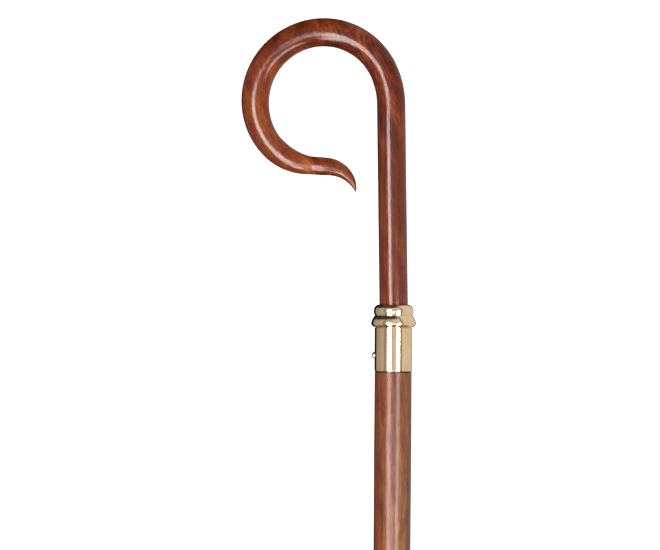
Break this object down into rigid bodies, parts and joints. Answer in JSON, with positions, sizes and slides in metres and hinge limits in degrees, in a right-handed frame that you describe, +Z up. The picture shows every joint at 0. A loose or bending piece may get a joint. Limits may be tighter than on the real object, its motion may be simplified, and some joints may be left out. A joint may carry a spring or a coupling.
{
  "type": "bishop crosier",
  "caption": "Wooden crosier with a bent, pointed crook and a round shaft, joined by a beaded brass collar with a push-button catch.",
  "frame": {"origin": "on the surface that the crosier lies on, under the middle of its box", "axes": "+Y along the staff towards the crook, +X away from the side that the crook hooks to, +Z up"},
  "size_m": [0.1422, 1.7992, 0.0362],
  "materials": {
    "crook_wood": "polished, lacquered reddish-brown wood with dark figure",
    "shaft_wood": "polished brown wood with straight grain",
    "polished_brass": "mirror polished pale brass"
  },
  "bodies": {
    "staff": {"crook": "crook_wood", "crook_ferrule": "polished_brass", "shaft_sleeve": "polished_brass", "shaft": "shaft_wood", "foot_ferrule": "polished_brass"},
    "button": {"catch_button": "polished_brass"}
  },
  "joints": [
    {"name": "catch_press", "type": "slide", "parent": "staff", "child": "button", "axis": [0.9978, -0.0002, 0.0656], "range_m": [0, 0.0023], "stiffness_N_per_m": 600, "springref_m": -0.001}
  ]
}
